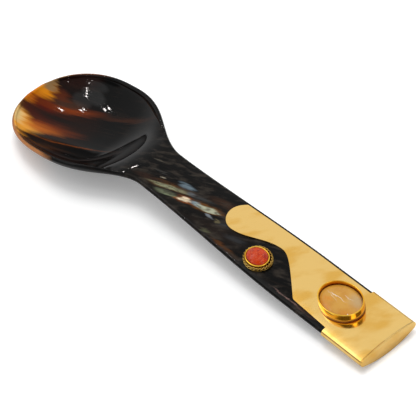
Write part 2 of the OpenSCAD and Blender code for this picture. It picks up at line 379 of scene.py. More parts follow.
@dataclass(frozen=True)
class HornFinish:
    """Polished natural horn, near black, with amber and cream where the tip of the horn was pale."""

    patches: tuple[Patch, ...]
    black: Colour = linear(8, 8, 8)
    brown: Colour = linear(22, 17, 14)
    wisp: Colour = linear(56, 50, 44)
    gloss: float = 0.05
    refraction: float = 1.17
    wandering: Triple = (13.0, 2.4, 0.0)
    neck: Pair = (150.0, 175.0)

    def make(self) -> bpy.types.Material:
        """Make the material.

        Returns:
            The material.
        """
        s = Sketch("polished_horn")
        place = s.stored("place")
        streak = s.noise(s.fit(place, turn=14, size=(26, 1.7, 4)), 1.0, 4.0, 0.62)
        colour = s.blend(s.rise(streak, 0.48, 0.72), self.black, self.brown)
        # The patches' outlines wander along the fibres
        flat = s.vector("MULTIPLY", place, (1.0, 1.0, 0.0))
        wander = s.noise(s.fit(flat, turn=20, size=(20, 1.9, 9)), 1.0, 4.0, 0.62, colour=True)
        wander = s.vector("SUBTRACT", wander, (0.5, 0.5, 0.5))
        wandered = s.vector("ADD", flat, s.vector("MULTIPLY", wander, self.wandering))
        top = s.rise(s.parts(s.stored("top"))[0], 0.35, 0.65)
        shares = {Side.TOP: top, Side.UNDER: s.number("SUBTRACT", 1.0, top)}
        for patch in self.patches:
            colour = s.lay(patch, wandered, colour, shares[patch.side])
        # Black mottling and grey wisps on the handle alone
        handle = s.rise(s.parts(place)[0], *self.neck, 1.0, 0.0)
        mottle = s.rise(s.noise(s.fit(flat, turn=17, size=(4.0, 1.1, 1)), 1.0, 3.0), 0.50, 0.68, 0.0, 0.6)
        colour = s.blend(s.number("MULTIPLY", mottle, handle), colour, self.black)
        wisps = s.rise(s.noise(s.fit(flat, turn=24, size=(7.5, 2.6, 1)), 1.0, 3.0, 0.55), 0.46, 0.72, 0.0, 0.8)
        colour = s.blend(s.number("MULTIPLY", wisps, handle), colour, self.wisp)
        scratch = s.noise(s.fit(place, turn=17, size=(5.0, 0.10, 1.0)), 1.0, 3.0, 0.7)
        waves = s.noise(s.fit(place, turn=14, size=(16, 2.2, 4)), 1.0, 2.0)
        s.set(Base_Color=colour, IOR=self.refraction,
              Roughness=s.rise(scratch, 0.5, 0.8, self.gloss, self.gloss + WEAR))
        s.bump(s.number("ADD", s.number("MULTIPLY", scratch, 0.10), waves), 0.010)
        return s.material


class BrassKind(Enum):
    """The kinds of brass on the spoon."""

    SHEET = "sheet"
    BEZEL = "bezel"
    WIRE = "wire"


@dataclass(frozen=True)
class BrassFinish:
    """Brass with fine scratches, a little uneven in colour, with dark tarnish specks, and darker in its recesses and
    at its foot, partly tarnish and partly painted shade.
    """

    kind: BrassKind
    tint: Colour
    shade: Colour
    tarnish_and_shade: Colour
    gloss: float
    recess_shade_reach: float
    brushing: float = 62.0

    def make(self) -> bpy.types.Material:
        """Make the material.

        Returns:
            The material.
        """
        s = Sketch("brass_" + self.kind.value)
        place = s.millimetres()
        cloud = s.noise(s.fit(place, turn=self.brushing, size=(1.8, 1.0, 1.0)), 0.11, 3.0)
        brushed = s.noise(s.fit(place, turn=self.brushing, size=(16.0, 0.22, 0.8)), 1.0, 3.0, 0.65)
        specks = s.noise(place, 2.2, 2.0, 0.6)
        colour = s.blend(s.rise(cloud, 0.42, 0.64), self.tint, self.shade)
        colour = s.blend(s.rise(brushed, 0.60, 0.80, 0.0, 0.35), colour, self.shade)
        colour = s.blend(s.rise(specks, 0.76, 0.86, 0.0, 0.35), colour, self.tarnish_and_shade)
        # Painted shade, partly tarnish: darker where the piece is enclosed, in recesses, at its foot and between the
        # wires
        colour = s.blend(s.rise(s.hidden(self.recess_shade_reach), 0.25, 0.85, 1.0, 0.0), colour, self.tarnish_and_shade)
        dull = s.number("ADD", brushed, s.number("MULTIPLY", cloud, 0.6))
        s.set(Base_Color=colour, Metallic=1.0, Roughness=s.rise(dull, 0.5, 1.1, self.gloss, self.gloss + WEAR))
        s.bump(brushed, 0.0006)
        return s.material


@dataclass(frozen=True)
class StoneFinish:
    """A polished stone of two mingled colours, with paler specks and patches, which on the amber stone include a
    painted glint.
    """

    name: str
    tint: Colour
    cloud: Colour
    speck: Colour
    grain: float
    speck_share: float
    patches: tuple[Patch, ...] = ()
    refraction: float = 1.36
    wandering: float = 2.2

    def make(self) -> bpy.types.Material:
        """Make the material.

        Returns:
            The material.
        """
        s = Sketch(self.name)
        place = s.millimetres()
        cloud = s.noise(place, self.grain, 3.0, 0.55)
        colour = s.blend(s.rise(cloud, 0.46, 0.66), self.tint, self.cloud)
        # The patches' outlines wander, as far to one side as to the other
        way, middle = (self.wandering, self.wandering, 0.0), (self.wandering / 2, self.wandering / 2, 0.0)
        bent = s.vector("ADD", s.vector("MULTIPLY", place, (1.0, 1.0, 0.0)),
                        s.vector("MULTIPLY", s.noise(place, 0.45, 3.0, 0.6, colour=True), way))
        bent = s.vector("SUBTRACT", bent, middle)
        for patch in self.patches:
            colour = s.lay(patch, bent, colour)
        specks = s.rise(s.noise(place, 1.9, 3.0, 0.8), 0.55, 0.68, 0.0, self.speck_share)
        s.set(Base_Color=s.blend(specks, colour, self.speck), Roughness=s.rise(cloud, 0.3, 0.8, 0.10, 0.20),
              IOR=self.refraction)
        s.bump(s.noise(place, 1.3, 3.0), 0.012)
        return s.material


# The spoon's own frame


@dataclass(frozen=True)
class Steps:
    """How closely sections stand along the horn.

    Attributes:
        handle: Steps along the straight handle.
        flare: Steps from the bend to the widest place.
        front: Steps round the front.
        last: Angle of the last one round the front in degrees.
    """

    handle: int
    flare: int
    front: int
    last: float


# The dressed horn's sections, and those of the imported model, which its resting place was found with
FINE = Steps(40, 90, 70, 89.3)
PACKED = Steps(12, 26, 16, 88.0)


@dataclass(frozen=True)
class Horn:
    """The spoon's body, pressed from one piece of horn: a lens-shaped handle that opens into a hollow bowl.

    Sizes are in millimetres. Its own frame has x along the straight handle from the end of the sleeve and the
    crest of the handle's top face at z = 0.
    """

    handle_length: float = 147.0
    butt_width: float = 29.0
    neck_width: float = 23.4
    butt_thickness: float = 6.2
    neck_thickness: float = 8.4
    taper_start: float = 52.0
    crown_radius: float = 71.5
    edge_radius: float = 1.2
    bowl_drop: float = 11.5
    bend_before_neck: float = 2.0
    bend_after_neck: float = 55.0
    bowl_length: float = 99.5
    bowl_width: float = 57.0
    widest_from_tip: float = 41.0
    bowl_depth: float = 12.0
    deepest_from_tip: float = 56.0
    hollow_start: float = 5.0
    rim_thickness: float = 2.2
    floor_thickness: float = 2.8
    front_power: float = 2.2
    flare_power: float = 1.4
    hollow_fullness: float = 0.75
    under_fullness: float = 0.65
    blend_before_neck: float = 8.0
    blend_after_neck: float = 30.0
    glue_gap: float = 0.05
    sheet: float = 0.6
    end_plate: float = 0.8
    butt_steps: int = 16
    face_steps: int = 56
    edge_steps: int = 12

    @property
    def skin(self) -> float:
        """Glue and sheet together."""
        return self.glue_gap + self.sheet

    @property
    def tip_at(self) -> float:
        """Distance of the tip."""
        return self.handle_length + self.bowl_length

    @property
    def widest_at(self) -> float:
        """Distance of the widest place."""
        return self.tip_at - self.widest_from_tip

    @property
    def deepest_at(self) -> float:
        """Distance of the deepest place."""
        return self.tip_at - self.deepest_from_tip

    @property
    def bend_at(self) -> float:
        """Distance at which the bend starts."""
        return self.handle_length - self.bend_before_neck

    def taper(self, x: float) -> float:
        """Return the share of the handle's narrowing that is done at x."""
        return smooth((x - self.taper_start) / (self.handle_length - self.taper_start))

    def handle_half(self, x: float) -> float:
        """Return half the handle's width at x."""
        return mix(self.butt_width / 2, self.neck_width / 2, self.taper(x))

    def front_half(self, x: float, inset: float) -> float:
        """Return half the width of the front of the bowl at x, inside a rim of a thickness."""
        u = clamp01((x - self.widest_at) / (self.widest_from_tip - inset))
        return (self.bowl_width / 2 - inset) * (1 - u ** self.front_power) ** (1 / self.front_power)

    def half_width(self, x: float) -> float:
        """Measure half the spoon's width.

        Args:
            x: Distance from the butt.

        Returns:
            Half the width.
        """
        if x <= self.handle_length:
            return self.handle_half(x)
        if x > self.widest_at:
            return self.front_half(x, 0.0)
        share = swing((self.widest_at - x) / (self.widest_at - self.handle_length), self.flare_power)
        return mix(self.neck_width / 2, self.bowl_width / 2, share)

    def inner_half(self, x: float) -> float:
        """Measure half the width of the mouth of the hollow.

        Args:
            x: Distance from the butt.

        Returns:
            Half the width.
        """
        if x <= self.widest_at:
            return self.half_width(x) - self.rim_thickness
        return self.front_half(x, self.rim_thickness)

    def spine(self, x: float) -> float:
        """Find the height of the crest of the handle, or of the rim of the bowl.

        Args:
            x: Distance from the butt.

        Returns:
            The height.
        """
        length = self.bend_before_neck + self.bend_after_neck
        v = clamp01((x - self.bend_at) / length)
        fall = length * (v ** 3 - v ** 4 / 2) + max(x - self.bend_at - length, 0.0)
        return -math.tan(math.radians(self.bowl_drop)) * fall

    def hollow_depth(self, x: float) -> float:
        """Measure the depth of the hollow under the rim.

        Args:
            x: Distance from the butt.

        Returns:
            The depth.
        """
        if x <= self.deepest_at:
            hollow_at = self.handle_length + self.hollow_start
            return self.bowl_depth * swing((self.deepest_at - x) / (self.deepest_at - hollow_at), 1)
        u = clamp01((x - self.deepest_at) / (self.deepest_from_tip - self.rim_thickness))
        return self.bowl_depth * (1 - u * u) ** self.hollow_fullness

    def under_depth(self, x: float) -> float:
        """Measure the depth of the underside under the rim.

        Args:
            x: Distance from the butt.

        Returns:
            The depth.
        """
        deepest = self.bowl_depth + self.floor_thickness
        if x <= self.deepest_at:
            share = swing((self.deepest_at - x) / (self.deepest_at - self.handle_length), 1)
            return mix(self.neck_thickness, deepest, share)
        u = clamp01((x - self.deepest_at) / self.deepest_from_tip)
        return mix(self.rim_thickness, deepest, (1 - u * u) ** self.under_fullness)

    def lens_arcs(self, half: float, thickness: float) -> tuple[float, float, float, float, float]:
        """Find the arcs of the lens section.

        Args:
            half: Half its width.
            thickness: Its thickness in the middle.

        Returns:
            The round edge's middle (y, z), the belly's radius and the angles at which the edge meets both faces.
        """
        yc = half - self.edge_radius
        zc = math.sqrt((self.crown_radius - self.edge_radius) ** 2 - yc ** 2) - self.crown_radius
        h = zc + thickness
        belly = (yc * yc + h * h - self.edge_radius ** 2) / (2 * (h - self.edge_radius))
        return yc, zc, belly, math.atan2(zc + self.crown_radius, yc), math.atan2(zc + thickness - belly, yc)

    def lens_ring(self, half: float, thickness: float, grow: float = 0.0) -> np.ndarray:
        """Draw the lens section: top, edge at +Y, underside, edge at -Y.

        Args:
            half: Half its width.
            thickness: Its thickness in the middle.
            grow: Thickness of skin added all round.

        Returns:
            The points as rows of y and z.
        """
        yc, zc, belly, a1, a2 = self.lens_arcs(half, thickness)
        r = self.edge_radius + grow
        k = np.arange(self.face_steps + 1) / self.face_steps
        top = (yc + r * math.cos(a1)) * np.sin(mix(-np.pi / 2, np.pi / 2, k))
        low = (yc + r * math.cos(a2)) * np.sin(mix(np.pi / 2, -np.pi / 2, k))
        a = mix(a1, a2, np.arange(1, self.edge_steps) / self.edge_steps)
        edge = np.column_stack([yc + r * np.cos(a), zc + r * np.sin(a)])
        return np.concatenate([
            np.column_stack([top, np.sqrt((self.crown_radius + grow) ** 2 - top ** 2) - self.crown_radius]),
            edge,
            np.column_stack([low, belly - thickness - np.sqrt((belly + grow) ** 2 - low ** 2)]),
            edge[::-1] * (-1, 1)])

    def bowl_ring(self, x: float) -> np.ndarray:
        """Draw the hollow section with its round rims, in the order of the lens section.

        Args:
            x: Distance from the butt.

        Returns:
            The points as rows of y and z.
        """
        half, hollow, under = self.half_width(x), self.hollow_depth(x), self.under_depth(x)
        reach = (half - self.inner_half(x)) / 2
        r = self.rim_thickness / 2
        a1 = mix(np.pi / 2, np.pi, clamp01(hollow / self.rim_thickness))
        lip_y, lip_z = half - reach + reach * np.cos(a1), r * (np.sin(a1) - 1)
        a = mix(-np.pi / 2, np.pi / 2, np.arange(self.face_steps + 1) / self.face_steps)
        level = np.maximum(np.cos(a), 0)
        b = mix(a1, 0, np.arange(1, self.edge_steps) / self.edge_steps)
        rim = np.column_stack([half - reach + reach * np.cos(b), r * (np.sin(b) - 1)])
        inside = lip_z - max(hollow + lip_z, 0) * level ** (2 * self.hollow_fullness)
        outside = -r - (under - r) * level ** (2 * self.under_fullness)
        return np.concatenate([np.column_stack([lip_y * np.sin(a), inside]), rim,
                               np.column_stack([-half * np.sin(a), outside]), rim[::-1] * (-1, 1)])

    def ring_at(self, x: float) -> np.ndarray:
        """Draw the whole section.

        Args:
            x: Distance from the butt.

        Returns:
            The points as rows of x, y and z.
        """
        share = smooth((x - self.handle_length + self.blend_before_neck)
                       / (self.blend_before_neck + self.blend_after_neck))
        points = self.bowl_ring(x)
        if share < 1:
            lens = self.lens_ring(self.half_width(x), mix(self.butt_thickness, self.neck_thickness, self.taper(x)))
            points = mix(lens, points, share)
        r = self.rim_thickness / 2
        kept = math.sqrt(max(1 - clamp01((x - self.tip_at) / r + 1) ** 2, 0))
        height = mix(-r, points[:, 1], kept) + self.spine(x)
        return at_distance(x, np.column_stack([points[:, 0], height]))

    def stations(self, steps: Steps) -> list[float]:
        """Return the distances from butt to tip at which sections stand.

        Args:
            steps: The numbers of sections.

        Returns:
            The distances.
        """
        first = [mix(self.taper_start, self.bend_at, k / steps.handle) for k in range(steps.handle)]
        then = [mix(self.bend_at, self.widest_at, k / steps.flare) for k in range(steps.flare)]
        angles = [math.radians(steps.last * k / steps.front) for k in range(steps.front + 1)]
        front = [self.widest_at + self.widest_from_tip * math.sin(a) ** (2 / self.front_power) for a in angles]
        return [self.glue_gap] + first + then + front

    def sides(self) -> np.ndarray:
        """Return 1 for each point of a ring on the top face, 0 on the underside, and between them on the edges."""
        down = 1 - np.arange(1, self.edge_steps) / self.edge_steps
        return np.concatenate([np.ones(self.face_steps + 1), down, np.zeros(self.face_steps + 1), down[::-1]])

    def build(self, laid: Laid, finish: HornFinish) -> bpy.types.Object:
        """Build the horn and dress it.

        Args:
            laid: How the spoon lies on the table.
            finish: Its finish.

        Returns:
            The piece.
        """
        butt = list(np.linspace(self.glue_gap, self.taper_start, self.butt_steps, endpoint=False))
        rings = [self.ring_at(x) for x in (butt + self.stations(FINE)[1:])[::-1]]
        shape = loft(rings)
        piece = laid.piece("horn_body", shape, finish.make(), "horn_spoon", "horn")
        # The two fans' middles count as half on top
        top = np.append(np.tile(self.sides(), len(rings)), (0.5, 0.5))
        store(piece, "place", shape[0])
        store(piece, "top", top[:, np.newaxis].repeat(3, axis=1))
        return piece


@dataclass(frozen=True)
class Laid:
    """How the spoon lies on the table: tilted until the cap's lower edge and the bowl share a level."""

    angle: float
    shift_x: float
    shift_z: float

    @classmethod
    def of(cls, horn: Horn) -> Laid:
        """Find the resting place of a spoon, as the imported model's was found.

        Args:
            horn: The spoon's body.

        Returns:
            The resting place.
        """
        places = horn.stations(PACKED)
        floor = -horn.butt_thickness - horn.skin
        angle = max(math.atan((floor - horn.spine(x) + horn.under_depth(x)) / (x + horn.end_plate))
                    for x in places if x > horn.handle_length)
        c, s = math.cos(angle), math.sin(angle)
        back = -horn.end_plate * c - horn.skin * s
        last = horn.ring_at(places[-1])
        tip = float((last[:, 0] * c - last[:, 2] * s).max())
        return cls(angle, -(back + tip) / 2, horn.end_plate * s - floor * c)

    def lay(self, points: np.ndarray) -> np.ndarray:
        """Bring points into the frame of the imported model.

        Args:
            points: Points of the spoon's own frame in millimetres.

        Returns:
            The same points in metres.
        """
        c, s = math.cos(self.angle), math.sin(self.angle)
        x, y, z = np.asarray(points, dtype=float).T
        return np.column_stack([x * c - z * s + self.shift_x, y, x * s + z * c + self.shift_z]) * MM

    def piece(self, name: str, shape: Shape, material: bpy.types.Material, node: str, slot: str) -> bpy.types.Object:
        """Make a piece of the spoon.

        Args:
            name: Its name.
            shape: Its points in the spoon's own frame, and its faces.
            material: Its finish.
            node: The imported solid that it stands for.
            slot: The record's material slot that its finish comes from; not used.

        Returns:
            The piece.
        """
        piece = add_piece(name, (self.lay(shape[0]), shape[1]), material)
        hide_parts(node)
        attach(piece, BODY)
        return piece


# Brass


@dataclass(frozen=True)
class BrassCap:
    """The sleeve on the end of the handle, drawn out on top into a wavy tongue, and its end plate."""

    horn: Horn
    brass: BrassFinish
    sleeve_length: float = 23.6
    tongue_length: float = 103.0
    shoulder_at: float = 45.0
    shoulder_y: float = 11.2
    scoop_at: float = 68.8
    scoop_y: float = -3.9
    scoop_round: float = 0.25
    lobe_at: float = 94.8
    lobe_y: float = 3.1
    heel_length: float = 3.0
    far_margin: float = 0.5
    near_margin: float = 1.0
    bevel: float = 0.13
    bevel_over: float = 50.0
    bevel_steps: int = 3
    plate_bevel: float = 0.22
    plate_bevel_steps: int = 6
    plate_lead: float = 0.05
    columns: int = 48
    sleeve_rows: int = 20
    tongue_rows: int = 92
    lobe_rows: int = 34
    shoulder_rows: int = 5
    lobe_last: float = 89.0

    def far_edge(self, x: float) -> float:
        """Find the tongue's far edge.

        Args:
            x: Distance from the butt.

        Returns:
            Its place across the handle.
        """
        heel_at = self.tongue_length - self.heel_length
        reach = self.horn.handle_half(min(x, heel_at)) - self.horn.edge_radius
        edge = self.far_margin - reach
        if x <= heel_at:
            return edge
        foot = self.lobe_y - (self.tongue_length - self.lobe_at)
        return mix(foot, edge, math.sqrt(clamp01((self.tongue_length - x) / self.heel_length)))

    def near_edge(self, x: float) -> float:
        """Find the tongue's near edge: straight, scoop, lobe.

        Args:
            x: Distance from the butt.

        Returns:
            Its place across the handle.
        """
        start = self.horn.butt_width / 2 - self.horn.edge_radius - self.near_margin
        if x <= self.shoulder_at:
            share = clamp01((x - self.sleeve_length) / (self.shoulder_at - self.sleeve_length))
            return mix(start, self.shoulder_y, share)
        if x <= self.scoop_at:
            u, r = (self.scoop_at - x) / (self.scoop_at - self.shoulder_at), self.scoop_round
            return mix(self.scoop_y, self.shoulder_y, (math.hypot(u, r) - r) / (math.hypot(1, r) - r))
        if x <= self.lobe_at:
            u = (x - self.scoop_at) / (self.lobe_at - self.scoop_at)
            return mix(self.scoop_y, self.lobe_y, (1 - math.cos(math.pi * u)) / 2)
        length = self.tongue_length - self.lobe_at
        return self.lobe_y - length + length * math.sqrt(max(1 - ((x - self.lobe_at) / length) ** 2, 0))

    def on_top(self, y: np.ndarray) -> np.ndarray:
        """Return the points of the sheet's crowned top face at places y across it."""
        radius = self.horn.crown_radius
        return np.column_stack([y, np.sqrt((radius + self.horn.skin) ** 2 - y ** 2) - radius])

    def across(self, x: float) -> np.ndarray:
        """Return the points of the row across the tongue at x."""
        share = np.arange(self.columns + 1) / self.columns
        return self.on_top(mix(self.far_edge(x), self.near_edge(x), share))

    def tongue_places(self) -> list[float]:
        """Find the distances of the rows across the tongue past the sleeve, closer round the lobe.

        Returns:
            The distances.
        """
        straight = np.linspace(self.sleeve_length, self.lobe_at, self.tongue_rows)[1:]
        angles = np.radians(np.linspace(0, self.lobe_last, self.lobe_rows)[1:])
        return [*straight, *(self.lobe_at + (self.tongue_length - self.lobe_at) * np.sin(angles))]

    def build(self, laid: Laid) -> list[bpy.types.Object]:
        """Return the sleeve with its tongue, and the end plate."""
        return [self.sleeve(laid), self.end_plate(laid)]

    def sleeve(self, laid: Laid) -> bpy.types.Object:
        """Build the sleeve and tongue as one folded sheet.

        Args:
            laid: How the spoon lies on the table.

        Returns:
            The piece.
        """
        horn = self.horn
        ring = horn.lens_ring(horn.butt_width / 2, horn.butt_thickness, horn.skin)
        shoulder = self.on_top(np.linspace(self.near_edge(0), ring[horn.face_steps][0], self.shoulder_rows)[1:])
        section = np.concatenate([self.across(0), shoulder, ring[horn.face_steps + 1:], ring[:1]])
        total, count = len(section), self.columns + 1
        points = [at_distance(x, section) for x in np.linspace(0, self.sleeve_length, self.sleeve_rows)]
        faces: Faces = []
        for i in range(len(points) - 1):
            faces += strip(i * total, (i + 1) * total, total)
        before, start = (len(points) - 1) * total, len(points) * total
        for x in self.tongue_places():
            points.append(at_distance(x, self.across(x)))
            faces += strip(before, start, count, closed=False)
            before, start = start, start + count
        shape = np.concatenate(points), [face[::-1] for face in faces]
        piece = laid.piece("cap_sheet", shape, self.brass.make(), "cap_sleeve", "pale_brass")
        wall = piece.modifiers.new("wall", "SOLIDIFY")
        wall.thickness, wall.offset, wall.use_even_offset = horn.sheet * MM, -1.0, True
        edge = piece.modifiers.new("edge", "BEVEL")
        edge.width, edge.segments, edge.limit_method = self.bevel * MM, self.bevel_steps, "ANGLE"
        edge.angle_limit, edge.harden_normals = math.radians(self.bevel_over), True
        return piece

    def end_plate(self, laid: Laid) -> bpy.types.Object:
        """Build the plate that closes the sleeve.

        Args:
            laid: How the spoon lies on the table.

        Returns:
            The piece.
        """
        horn, bevel, back = self.horn, self.plate_bevel, -self.horn.end_plate
        steps = [(0.0, horn.skin), (back + bevel + self.plate_lead, horn.skin)]
        steps += [(back + bevel * (1 - math.sin(a)), horn.skin - bevel * (1 - math.cos(a)))
                  for a in np.linspace(0, math.pi / 2, self.plate_bevel_steps)]
        rings = [at_distance(x, horn.lens_ring(horn.butt_width / 2, horn.butt_thickness, grow)) for x, grow in steps]
        middle = (rings[-1].min(axis=0) + rings[-1].max(axis=0)) / 2
        rings += [mix(rings[-1], middle, share) for share in (0.25, 0.5, 0.75, 0.95)]
        return laid.piece("cap_end", loft(rings), self.brass.make(), "end_plate", "pale_brass")


# Settings


@dataclass(frozen=True)
class Setting:
    """A place on the crown of the handle where a stone is set, upright to the face or to the spoon."""

    horn: Horn
    at: float
    across: float
    upright: bool

    def put(self, shape: Shape) -> Shape:
        """Bring a shape from the setting's own frame into the spoon's.

        Args:
            shape: Points and faces in the setting's frame.

        Returns:
            The same in the spoon's frame.
        """
        points, faces = shape
        if not self.upright:
            return points + (self.at, self.across, 0), faces
        r = self.horn.crown_radius
        angle = math.asin(self.across / r)
        c, s = math.cos(angle), math.sin(angle)
        x, y, z = points[:, 0], points[:, 1], points[:, 2] + r
        return np.column_stack([x + self.at, y * c + z * s, z * c - y * s - r]), faces

    def crown(self, points: np.ndarray, lift: float) -> np.ndarray:
        """Return the height of the crown, lifted, under rows of x and y of the setting's frame."""
        r = self.horn.crown_radius
        return np.sqrt((r + lift) ** 2 - points[:, 1] ** 2) - r


def band(a: float, b: float, wall: float, foot: Callable[[np.ndarray], np.ndarray], top: float) -> Shape:
    """Build an oval band with a rounded rim.

    Args:
        a: Half its length outside.
        b: Half its width outside.
        wall: Thickness of its wall.
        foot: Height of its foot under rows of x and y.
        top: Height of its rim.

    Returns:
        The shape in its setting's frame.
    """
    r = wall * RIM_ROUND
    eave = top - r
    # Each row of the profile: inset from outside, height or none, and share of the way from foot to eave
    profile: list[tuple[float, float | None, float]] = [(0.0, None, 0.0), (0.0, None, 0.5), (0.0, eave, 0.0)]
    profile += [(r * (1 - math.cos(t)), eave + r * math.sin(t), 0.0)
                for t in np.linspace(RIM_START, math.pi / 2, RIM_STEPS)]
    profile += [(wall - r * (1 - math.sin(t)), eave + r * math.cos(t), 0.0)
                for t in np.linspace(0, math.pi / 2 - RIM_START, RIM_STEPS)]
    profile += [(wall, eave, 0.0), (wall, None, 0.5), (wall, None, 0.0)]
    rings = []
    for inset, height, share in profile:
        plan = oval(a - inset, b - inset, BAND_STEPS)
        rings.append(at_height(plan, mix(foot(plan), eave, share) if height is None else height))
    return loft(rings, joined=True)


def dome(a: float, b: float, base: float, girdle: float, rise: float) -> Shape:
    """Build a flat-based domed stone.

    Args:
        a: Half its length.
        b: Half its width.
        base: Height of its flat base.
        girdle: Height of its upright edge.
        rise: Rise of the dome over that edge.

    Returns:
        The shape in its setting's frame.
    """
    rings = [at_height(oval(a, b, STONE_STEPS), base + z) for z in (0.0, girdle * GIRDLE_SHARE, girdle)]
    for t in DOME_ANGLES:
        plan = oval(a * math.cos(t), b * math.cos(t), STONE_STEPS)
        rings.append(at_height(plan, base + girdle + rise * math.sin(t)))
    return loft(rings)


@dataclass(frozen=True)
class LargeSetting:
    """The long amber-coloured stone in its tall plain bezel on the cap."""

    horn: Horn
    brass: BrassFinish
    stone: StoneFinish
    at: float = 27.0
    length: float = 22.0
    width: float = 17.2
    height: float = 4.2
    girdle: float = 1.9
    rise: float = 1.5
    wall: float = 0.6
    stone_gap: float = 0.08
    solder_gap: float = 0.02

    def build(self, laid: Laid) -> list[bpy.types.Object]:
        """Build the bezel and its stone.

        Args:
            laid: How the spoon lies on the table.

        Returns:
            Both pieces.
        """
        setting = Setting(self.horn, self.at, 0.0, upright=False)
        a, b, skin = self.length / 2, self.width / 2, self.horn.skin
        lift, inset = skin + self.solder_gap, self.wall + self.stone_gap
        bezel = band(a, b, self.wall, lambda plan: setting.crown(plan, lift), skin + self.height)
        stone = dome(a - inset, b - inset, lift, self.girdle, self.rise)
        return [laid.piece("large_bezel_band", setting.put(bezel), self.brass.make(), "large_bezel", "deep_brass"),
                laid.piece("large_cabochon", setting.put(stone), self.stone.make(), "large_stone", "amber_stone")]


@dataclass(frozen=True)
class SmallSetting:
    """The domed red stone on its base plate, in a low bezel with a ring of twisted wire round it."""

    horn: Horn
    brass: BrassFinish
    wire_brass: BrassFinish
    stone: StoneFinish
    at: float = 72.6
    across: float = 6.5
    length: float = 14.6
    width: float = 12.0
    base: float = 0.5
    base_bevel: float = 0.12
    base_bevel_steps: int = 4
    wire: float = 1.15
    twists: int = 24
    height: float = 1.8
    girdle: float = 1.5
    rise: float = 2.1
    wall: float = 0.6
    stone_gap: float = 0.08
    solder_gap: float = 0.02

    def build(self, laid: Laid) -> list[bpy.types.Object]:
        """Build the base, bezel, wire ring and stone.

        Args:
            laid: How the spoon lies on the table.

        Returns:
            The four pieces.
        """
        setting = Setting(self.horn, self.at, self.across, upright=True)
        brass, wire_brass = self.brass.make(), self.wire_brass.make()
        inner = self.wire + self.solder_gap
        a, b = self.length / 2 - inner, self.width / 2 - inner
        floor, inset = self.base + 2 * self.solder_gap, self.wall + self.stone_gap
        bezel = band(a, b, self.wall, lambda plan: np.full(len(plan), floor), floor + self.height)
        stone = dome(a - inset, b - inset, floor, self.girdle, self.rise)
        rows = (("small_base_plate", self.plate(setting), wire_brass, "small_base", "deep_brass"),
                ("small_bezel_band", bezel, brass, "small_bezel", "deep_brass"),
                ("wire_ring", self.ring(floor + self.wire / 2), wire_brass, "twisted_ring", "deep_brass"),
                ("small_cabochon", stone, self.stone.make(), "small_stone", "red_stone"))
        return [laid.piece(name, setting.put(shape), material, node, slot)
                for name, shape, material, node, slot in rows]

    def plate(self, setting: Setting) -> Shape:
        """Build the base plate, hollowed underneath to the crown of the handle.

        Args:
            setting: Where it stands.

        Returns:
            The shape in its setting's frame.
        """
        a, b, bevel = self.length / 2, self.width / 2, self.base_bevel
        top = self.base + self.solder_gap
        plans = [oval(a * share, b * share, BAND_STEPS) for share in (0.05, 0.4, 0.7, 0.9, 1.0)]
        rings = [at_height(plan, setting.crown(plan, self.solder_gap)) for plan in plans]
        for t in np.linspace(0, math.pi / 2, self.base_bevel_steps):
            inset = bevel * (1 - math.cos(t))
            rings.append(at_height(oval(a - inset, b - inset, BAND_STEPS), top - bevel * (1 - math.sin(t))))
        rings += [at_height(oval(a * share, b * share, BAND_STEPS), top) for share in (0.8, 0.5, 0.05)]
        return loft(rings)

    def ring(self, height: float) -> Shape:
        """Build two wires twisted together and bent to an oval.

        Args:
            height: Height of their middle line.

        Returns:
            The shape in its setting's frame.
        """
        around = WIRE_STEPS * self.twists
        a, b = (self.length - self.wire) / 2, (self.width - self.wire) / 2
        thick, up = self.wire / 4, np.array([0, 0, 1])
        s = -np.arange(WIRE_SIDES) * 2 * math.pi / WIRE_SIDES
        points: list[np.ndarray] = []
        faces: Faces = []
        for strand, phase in enumerate((0.0, math.pi)):
            rings = []
            for t in np.arange(around) * 2 * math.pi / around:
                out = np.array([b * math.cos(t), a * math.sin(t), 0])
                out /= np.linalg.norm(out)
                turn = self.twists / 2 * t + phase
                middle = np.array([a * math.cos(t), b * math.sin(t), height])
                middle = middle + thick * (out * math.cos(turn) + up * math.sin(turn))
                rings.append(middle + thick * (np.outer(np.cos(s), out) + np.outer(np.sin(s), up)))
            corners, sides = loft(rings, joined=True)
            points.append(corners)
            faces += [tuple(k + strand * len(corners) for k in face) for face in sides]
        return np.concatenate(points), faces


# Studio


def direction(azimuth: float, elevation: float) -> Vector:
    """Return the way from the spoon to a place in the sky, both angles in degrees."""
    az, el = math.radians(azimuth), math.radians(elevation)
    return Vector((math.cos(el) * math.cos(az), math.cos(el) * math.sin(az), math.sin(el)))


@dataclass(frozen=True)
class Softbox:
    """A square lamp that shines on the spoon.

    Attributes:
        azimuth: Its direction round the spoon in degrees, from +X towards +Y.
        elevation: Its height over the table in degrees.
        distance: Its distance in metres.
        size: Its width and height in metres.
        power: Its power in watts.
        tint: Its colour.
        mirrored: Whether polished surfaces mirror it.
        only: Names of the pieces that it shines on; none means all.
        aim: The place that it shines at, in metres.
    """

    azimuth: float
    elevation: float
    distance: float
    size: float
    power: float
    tint: Colour = (1.0, 1.0, 1.0)
    mirrored: bool = False
    only: tuple[str, ...] = ()
    aim: tuple[float, ...] = (0.0, 0.0, 0.0)

    def build(self, name: str) -> bpy.types.Object:
        """Hang the lamp.

        Args:
            name: Its name.

        Returns:
            The lamp.
        """
        data = bpy.data.lights.new(name, "AREA")
        data.shape, data.size, data.size_y = "RECTANGLE", self.size, self.size
        data.energy, data.color = self.power, self.tint
        lamp = bpy.data.objects.new(name, data)
        lamp.visible_glossy = self.mirrored
        way = direction(self.azimuth, self.elevation)
        lamp.location = Vector(self.aim) + way * self.distance
        lamp.rotation_euler = way.to_track_quat("Z", "Y").to_euler()
        bpy.context.scene.collection.objects.link(lamp)
        if self.only:
            lit = bpy.data.collections.new(name + "_pieces")
            for piece in bpy.context.scene.objects:
                if piece.name.startswith(self.only):
                    lit.objects.link(piece)
            lamp.light_linking.receiver_collection = lit
        return lamp


